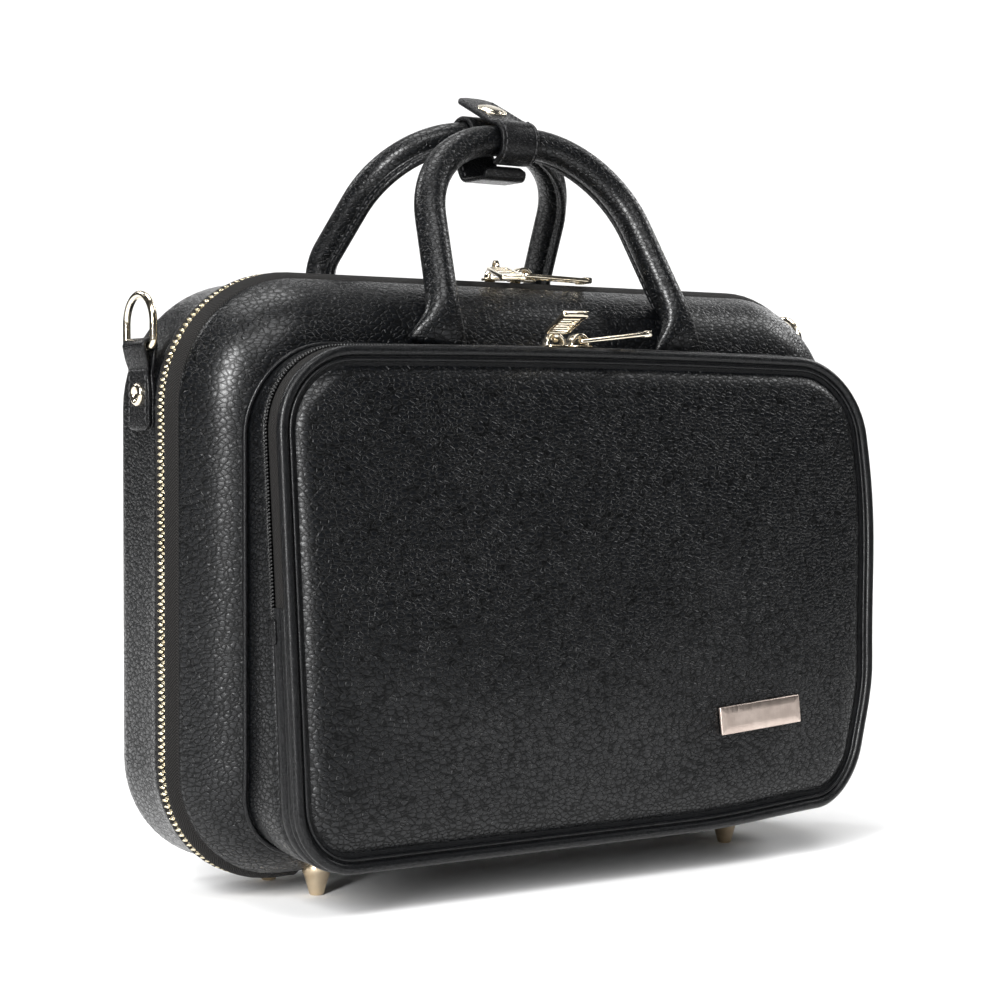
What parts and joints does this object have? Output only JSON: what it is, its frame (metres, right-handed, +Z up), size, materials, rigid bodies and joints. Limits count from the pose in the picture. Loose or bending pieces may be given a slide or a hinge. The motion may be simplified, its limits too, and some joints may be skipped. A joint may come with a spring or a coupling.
{
  "type": "instrument case",
  "caption": "Leather-covered hard case for an oboe, with a zip-closed hinged lid, a zipped front pocket, twin rolled handles joined by a snap wrap, strap rings and metal feet.",
  "frame": {"origin": "centre of the whole case's outline on the surface it stands on, at the seam of its two halves", "axes": "+X to the right seen from the front, -Y the front with the pocket, +Z up"},
  "size_m": [0.3124, 0.1304, 0.2972],
  "materials": {
    "grain_leather": "black pebbled leather, satin",
    "smooth_leather": "black smooth edge leather, satin",
    "zip_tape": "charcoal herringbone tape",
    "zip_teeth": "pale gold plated teeth",
    "pale_gold": "polished pale gold plate",
    "foot_metal": "satin champagne gold",
    "plate_metal": "satin rose gold",
    "coil": "black nylon coil",
    "plush": "black plush lining"
  },
  "bodies": {
    "back_half": {"back_shell": "grain_leather", "instrument_block": "plush", "back_zip_tape": "zip_tape", "back_zip_teeth": "zip_teeth", "hinge_strip_back": "smooth_leather", "zip_end_tabs": "smooth_leather", "back_feet": "foot_metal", "strap_tab_left": "grain_leather", "strap_tab_right": "grain_leather", "tab_rivets": "pale_gold", "handle_feet_back": "grain_leather"},
    "front_half": {"front_shell": "grain_leather", "lid_pad": "plush", "front_zip_tape": "zip_tape", "front_zip_teeth": "zip_teeth", "hinge_strip_front": "smooth_leather", "front_feet": "foot_metal", "handle_feet_front": "grain_leather", "pocket_gusset": "grain_leather", "pocket_bead": "smooth_leather", "pocket_zip_inner": "coil", "pocket_zip_tabs": "smooth_leather", "pocket_panel_lower": "grain_leather", "pocket_piping_lower": "smooth_leather", "name_plate": "plate_metal"},
    "pocket_flap": {"pocket_panel_upper": "grain_leather", "pocket_piping_upper": "smooth_leather", "pocket_zip_outer": "coil"},
    "front_handle": {"handle_front": "grain_leather", "wrap_front": "smooth_leather"},
    "wrap_flap": {"wrap_flap": "smooth_leather", "snap_cap": "pale_gold", "snap_socket": "pale_gold"},
    "back_handle": {"handle_back": "grain_leather", "wrap_back": "smooth_leather", "snap_stud": "pale_gold"},
    "d_ring_left": {"d_ring_left": "pale_gold"},
    "d_ring_right": {"d_ring_right": "pale_gold"},
    "main_slider_left": {"main_slider_left": "pale_gold"},
    "main_slider_right": {"main_slider_right": "pale_gold"},
    "main_pull_left": {"main_pull_left": "pale_gold"},
    "main_pull_right": {"main_pull_right": "pale_gold"},
    "pocket_slider_left": {"pocket_slider_left": "pale_gold"},
    "pocket_slider_right": {"pocket_slider_right": "pale_gold"},
    "pocket_pull_left": {"pocket_pull_left": "pale_gold"},
    "pocket_pull_right": {"pocket_pull_right": "pale_gold"}
  },
  "joints": [
    {"name": "lid_hinge", "type": "hinge", "parent": "back_half", "child": "front_half", "pos_m": [0, 0, 0.006], "axis": [1, 0, 0], "range_deg": [0, 110]},
    {"name": "pocket_flap_fold", "type": "hinge", "parent": "front_half", "child": "pocket_flap", "pos_m": [0, -0.05741, 0.104], "axis": [1, 0, 0], "range_deg": [0, 40]},
    {"name": "front_handle_fold", "type": "hinge", "parent": "front_half", "child": "front_handle", "pos_m": [0, -0.03562, 0.206], "axis": [1, 0, 0], "range_deg": [0, 105]},
    {"name": "back_handle_fold", "type": "hinge", "parent": "back_half", "child": "back_handle", "pos_m": [0, 0.0572, 0.206], "axis": [-1, 0, 0], "range_deg": [0, 100]},
    {"name": "wrap_flap_lift", "type": "hinge", "parent": "front_handle", "child": "wrap_flap", "pos_m": [-0.0033, 0, 0.2884], "axis": [1, 0, 0], "range_deg": [0, 120]},
    {"name": "d_ring_left_swing", "type": "hinge", "parent": "back_half", "child": "d_ring_left", "pos_m": [-0.153, 0.0166, 0.198], "axis": [0, -1, 0], "range_deg": [0, 150]},
    {"name": "d_ring_right_swing", "type": "hinge", "parent": "back_half", "child": "d_ring_right", "pos_m": [0.153, 0.0166, 0.198], "axis": [0, 1, 0], "range_deg": [0, 150]},
    {"name": "main_slider_left_run", "type": "slide", "parent": "back_half", "child": "main_slider_left", "axis": [-1, 0, 0], "range_m": [0, 0.021]},
    {"name": "main_slider_right_run", "type": "slide", "parent": "back_half", "child": "main_slider_right", "axis": [1, 0, 0], "range_m": [0, 0.085]},
    {"name": "pocket_slider_left_run", "type": "slide", "parent": "front_half", "child": "pocket_slider_left", "axis": [-1, 0, 0], "range_m": [0, 0.024]},
    {"name": "pocket_slider_right_run", "type": "slide", "parent": "front_half", "child": "pocket_slider_right", "axis": [1, 0, 0], "range_m": [0, 0.014]},
    {"name": "main_pull_left_lift", "type": "hinge", "parent": "main_slider_left", "child": "main_pull_left", "pos_m": [-0.0097, 0, 0.2312], "axis": [-0.9336, 0.3584, 0], "range_deg": [0, 150]},
    {"name": "main_pull_right_lift", "type": "hinge", "parent": "main_slider_right", "child": "main_pull_right", "pos_m": [0.0024, 0, 0.2287], "axis": [-0.2419, -0.9703, 0], "range_deg": [0, 115]},
    {"name": "pocket_pull_left_lift", "type": "hinge", "parent": "pocket_slider_left", "child": "pocket_pull_left", "pos_m": [-0.0095, -0.03788, 0.2041], "axis": [-0.9397, 0.342, 0], "range_deg": [-15, 90]},
    {"name": "pocket_pull_right_lift", "type": "hinge", "parent": "pocket_slider_right", "child": "pocket_pull_right", "pos_m": [0.0015, -0.03788, 0.2016], "axis": [-0.342, -0.9397, 0], "range_deg": [-10, 90]}
  ]
}
